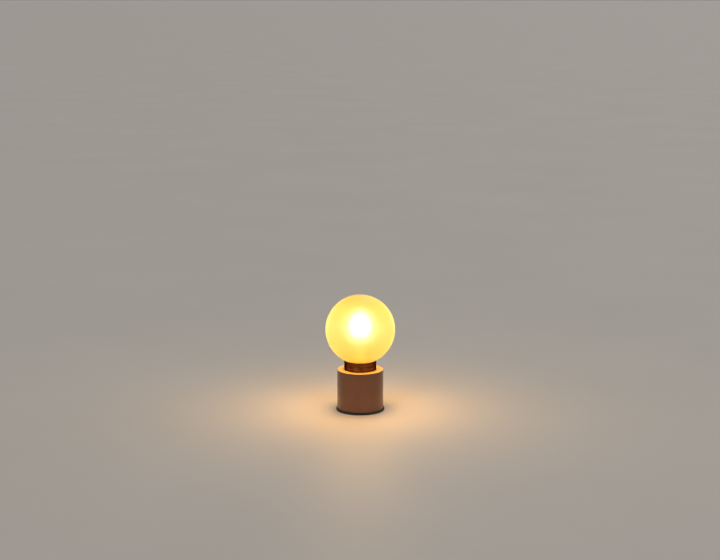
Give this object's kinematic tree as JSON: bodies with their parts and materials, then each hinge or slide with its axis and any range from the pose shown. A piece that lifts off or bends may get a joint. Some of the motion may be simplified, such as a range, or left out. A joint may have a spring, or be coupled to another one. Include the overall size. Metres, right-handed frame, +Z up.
{
  "type": "smart light bulb",
  "caption": "Frosted globe smart bulb, lit warm, with a copper-coloured screw cap, standing in a weighted cylindrical lamp-holder base with a sprung centre contact.",
  "frame": {"origin": "centre of the foot's underside", "axes": "+Z up along the lamp's axis, +Y towards the cord entry at the back, -Y towards the viewer"},
  "size_m": [0.06, 0.06, 0.101],
  "materials": {
    "frosted_glass": "frosted, lit from inside",
    "collar_copper": "dark copper-coloured plate",
    "cap_copper": "dark copper-coloured plate",
    "cement": "rough cement",
    "black_glass": "glossy black glass",
    "solder": "soldered",
    "housing_plastic": "moulded",
    "board_green": "solder mask",
    "board_white": "white solder mask",
    "board_blue": "solder mask",
    "capacitor_sleeve": "shrink sleeve",
    "film_yellow": "boxed film part",
    "chip_black": "moulded package",
    "ferrite": "pressed ferrite",
    "copper": "enamelled copper",
    "resistor_body": "lacquered",
    "tinned_wire": "tinned",
    "wire_insulation": "silicone sleeve",
    "aluminium": "satin",
    "white_reflector": "matt white",
    "zinc_screw": "zinc plated",
    "led_warm": "yellow phosphor, lit",
    "led_cool": "pale phosphor, lit",
    "column_cap_plastic": "moulded",
    "opal_plastic": "opal diffuser, lit",
    "tin_shield": "tin plated",
    "base_satin": "satin brown",
    "cover_satin": "satin pale gold",
    "porcelain": "unglazed porcelain",
    "brass": "rolled",
    "spring_steel": "wire",
    "ballast_steel": "plain",
    "fish_paper": "insulating sheet",
    "plate_steel": "black coated",
    "foot_rubber": "matt",
    "bushing_nylon": "moulded"
  },
  "bodies": {
    "base": {"base_housing": "base_satin", "top_cover": "cover_satin", "socket_porcelain": "porcelain", "screw_shell": "brass", "shell_rivets": "brass", "rivet_washer": "brass", "live_terminal": "brass", "neutral_terminal": "brass", "terminal_screws": "zinc_screw", "contact_guide": "brass", "contact_spring": "spring_steel", "ballast_plate": "ballast_steel", "insulation_disc": "fish_paper", "base_plate": "plate_steel", "base_plate_screws": "zinc_screw", "foot_ring": "foot_rubber", "cord_bushing": "bushing_nylon"},
    "centre_contact": {"contact_plunger": "brass", "plunger_clip": "spring_steel"},
    "bulb_carriage": {"cap_tip_contact": "solder"},
    "bulb": {"glass_globe": "frosted_glass", "neck_collar": "collar_copper", "neck_cement": "cement", "cap_shell": "cap_copper", "cap_insulator": "black_glass", "driver_housing": "housing_plastic", "driver_board": "board_green", "bulk_capacitor": "capacitor_sleeve", "line_capacitor": "film_yellow", "rectifier": "chip_black", "driver_chip": "chip_black", "power_inductor": "ferrite", "inductor_winding": "copper", "fuse_resistor": "resistor_body", "live_lead": "tinned_wire", "neutral_lead": "tinned_wire", "stem_plate": "aluminium", "reflector_disc": "white_reflector", "stem_screws": "zinc_screw", "stem_tube": "column_cap_plastic", "led_column": "aluminium", "led_strips": "board_white", "warm_leds": "led_warm", "cool_leds": "led_cool", "column_cap": "column_cap_plastic", "column_diffuser": "opal_plastic", "radio_board": "board_blue", "radio_shield": "tin_shield", "antenna_trace": "copper", "led_harness": "wire_insulation"}
  },
  "joints": [
    {"name": "bulb_lift", "type": "slide", "parent": "base", "child": "bulb_carriage", "axis": [0, 0, 1], "range_m": [0, 0.02178]},
    {"name": "bulb_screw", "type": "hinge", "parent": "bulb_carriage", "child": "bulb", "pos_m": [0, 0, 0.0412], "axis": [0, 0, 1], "range_deg": [0, 2160]},
    {"name": "contact_plunge", "type": "slide", "parent": "base", "child": "centre_contact", "axis": [0, 0, 1], "range_m": [-0.0015, 0], "stiffness_N_per_m": 900, "deforming": ["contact_spring"]}
  ],
  "couplings": [
    {"joint": "bulb_lift", "follows": "bulb_screw", "m_per_rad": 0.0005775}
  ]
}
